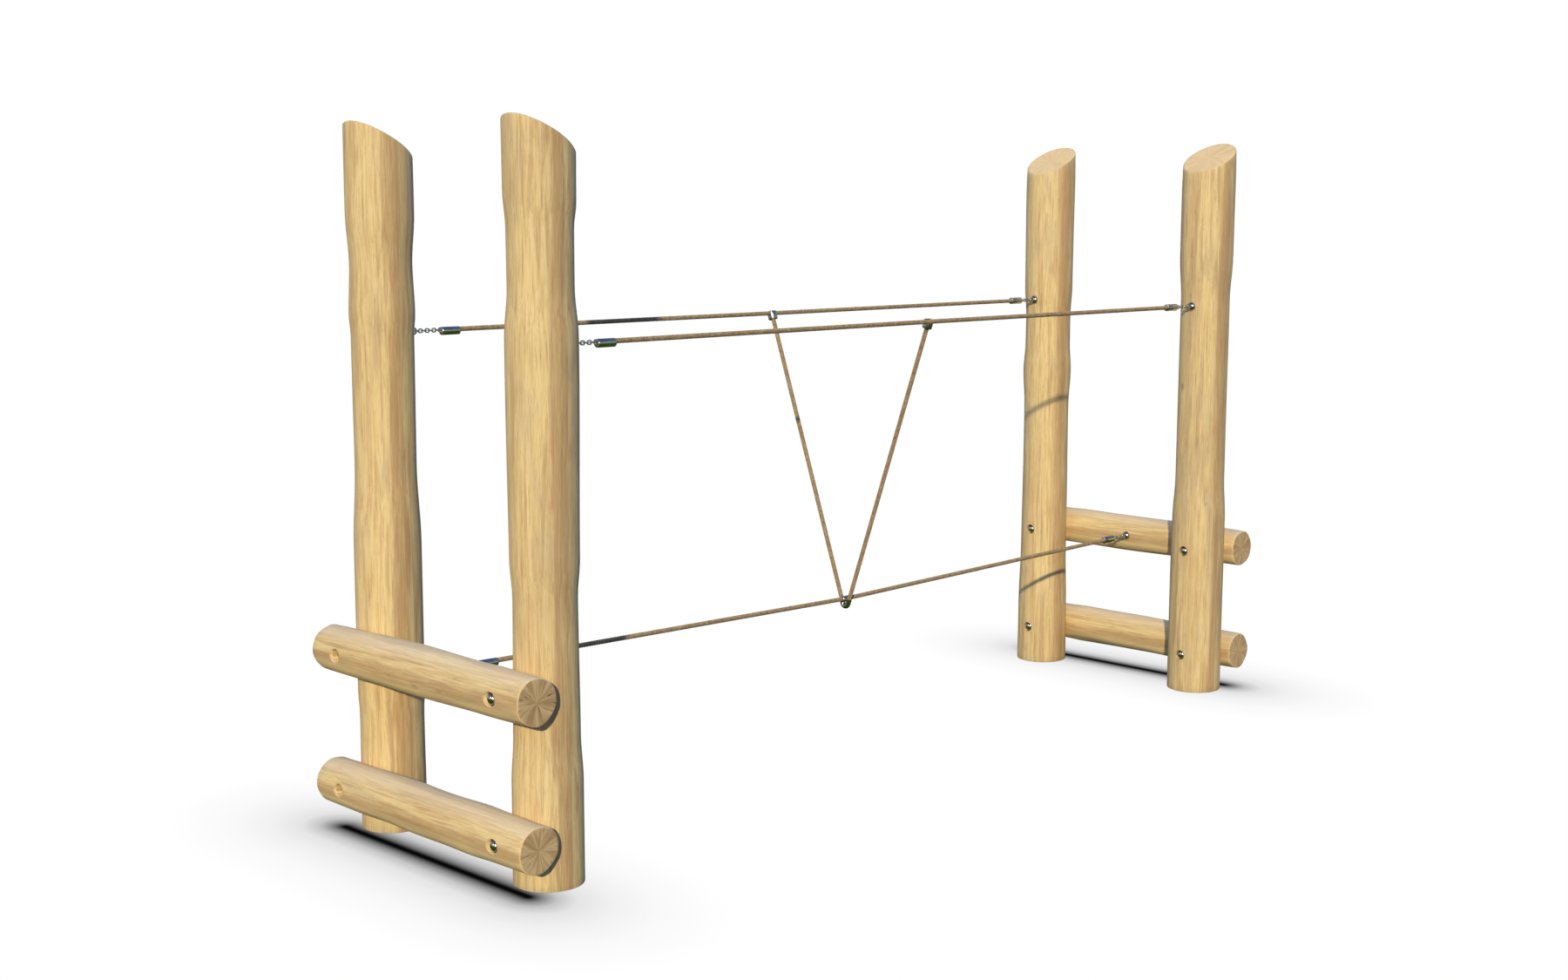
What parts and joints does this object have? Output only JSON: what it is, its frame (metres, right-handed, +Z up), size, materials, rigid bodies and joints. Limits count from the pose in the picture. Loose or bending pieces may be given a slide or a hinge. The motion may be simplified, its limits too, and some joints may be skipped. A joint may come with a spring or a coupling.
{
  "type": "rope crossing climbing frame",
  "caption": "Play rope crossing: round timber posts and rungs, two hand ropes and a foot rope on chains, tied at mid-span by a V rope.",
  "frame": {"origin": "on the ground, at the middle of the span, half way between the front and back posts", "axes": "+X along the ropes from the left posts to the right posts, +Y from the front posts to the back posts, +Z up"},
  "size_m": [3.933, 1.064, 2.287],
  "materials": {
    "timber": "debarked and sanded, unvarnished",
    "steel": "polished stainless",
    "rope": "twisted hemp-coloured rope"
  },
  "bodies": {
    "frame": {"dome_nut_left_back_lower": "steel", "dome_nut_left_back_upper": "steel", "dome_nut_left_front_lower": "steel", "dome_nut_left_front_upper": "steel", "dome_nut_right_back_lower": "steel", "dome_nut_right_back_upper": "steel", "dome_nut_right_front_lower": "steel", "dome_nut_right_front_upper": "steel", "eye_screw_foot_rope_left": "steel", "eye_screw_foot_rope_right": "steel", "eye_screw_hand_rope_back_left": "steel", "eye_screw_hand_rope_back_right": "steel", "eye_screw_hand_rope_front_left": "steel", "eye_screw_hand_rope_front_right": "steel", "post_left_back": "timber", "post_left_front": "timber", "post_right_back": "timber", "post_right_front": "timber", "rung_bolt_left_back_lower": "steel", "rung_bolt_left_back_upper": "steel", "rung_bolt_left_front_lower": "steel", "rung_bolt_left_front_upper": "steel", "rung_bolt_right_back_lower": "steel", "rung_bolt_right_back_upper": "steel", "rung_bolt_right_front_lower": "steel", "rung_bolt_right_front_upper": "steel", "rung_left_lower": "timber", "rung_left_upper": "timber", "rung_right_lower": "timber", "rung_right_upper": "timber"},
    "v_hanger": {"t_clamp_back": "steel", "t_clamp_front": "steel", "v_rope_leg_back": "rope", "v_rope_leg_front": "rope", "v_saddle": "steel"},
    "hand_rope_back_left_half": {"chain_hand_rope_back_left": "steel", "ferrule_hand_rope_back_left": "steel", "hand_rope_back_left": "rope"},
    "hand_rope_front_left_half": {"chain_hand_rope_front_left": "steel", "ferrule_hand_rope_front_left": "steel", "hand_rope_front_left": "rope"},
    "hand_rope_back_right_half": {"chain_hand_rope_back_right": "steel", "ferrule_hand_rope_back_right": "steel", "hand_rope_back_right": "rope"},
    "hand_rope_front_right_half": {"chain_hand_rope_front_right": "steel", "ferrule_hand_rope_front_right": "steel", "hand_rope_front_right": "rope"},
    "foot_rope_left_half": {"chain_foot_rope_left": "steel", "ferrule_foot_rope_left": "steel", "foot_rope_left": "rope"},
    "foot_rope_right_half": {"chain_foot_rope_right": "steel", "ferrule_foot_rope_right": "steel", "foot_rope_right": "rope"}
  },
  "joints": [
    {"name": "sway", "type": "slide", "parent": "frame", "child": "v_hanger", "axis": [0, 1, 0], "range_m": [-0.1, 0.1], "stiffness_N_per_m": 3500},
    {"name": "swing_hand_rope_back_left", "type": "hinge", "parent": "frame", "child": "hand_rope_back_left_half", "pos_m": [-1.61999, 0.403, 1.62], "axis": [0, 0, 1], "range_deg": [-3.6, 3.6]},
    {"name": "swing_hand_rope_front_left", "type": "hinge", "parent": "frame", "child": "hand_rope_front_left_half", "pos_m": [-1.61133, -0.403, 1.62], "axis": [0, 0, 1], "range_deg": [-3.6, 3.6]},
    {"name": "swing_hand_rope_back_right", "type": "hinge", "parent": "frame", "child": "hand_rope_back_right_half", "pos_m": [1.6187, 0.403, 1.62], "axis": [0, 0, 1], "range_deg": [-3.6, 3.6]},
    {"name": "swing_hand_rope_front_right", "type": "hinge", "parent": "frame", "child": "hand_rope_front_right_half", "pos_m": [1.62065, -0.403, 1.62], "axis": [0, 0, 1], "range_deg": [-3.6, 3.6]},
    {"name": "swing_foot_rope_left", "type": "hinge", "parent": "frame", "child": "foot_rope_left_half", "pos_m": [-1.7812, 0, 0.6], "axis": [0, 0, 1], "range_deg": [-3.6, 3.6]},
    {"name": "swing_foot_rope_right", "type": "hinge", "parent": "frame", "child": "foot_rope_right_half", "pos_m": [1.7812, 0, 0.6], "axis": [0, 0, 1], "range_deg": [-3.6, 3.6]}
  ],
  "couplings": [
    {"joint": "swing_hand_rope_back_left", "follows": "sway", "rad_per_m": 0.61729},
    {"joint": "swing_hand_rope_front_left", "follows": "sway", "rad_per_m": 0.6206},
    {"joint": "swing_hand_rope_back_right", "follows": "sway", "rad_per_m": -0.61778},
    {"joint": "swing_hand_rope_front_right", "follows": "sway", "rad_per_m": -0.61704},
    {"joint": "swing_foot_rope_left", "follows": "sway", "rad_per_m": 0.56142},
    {"joint": "swing_foot_rope_right", "follows": "sway", "rad_per_m": -0.56142}
  ]
}
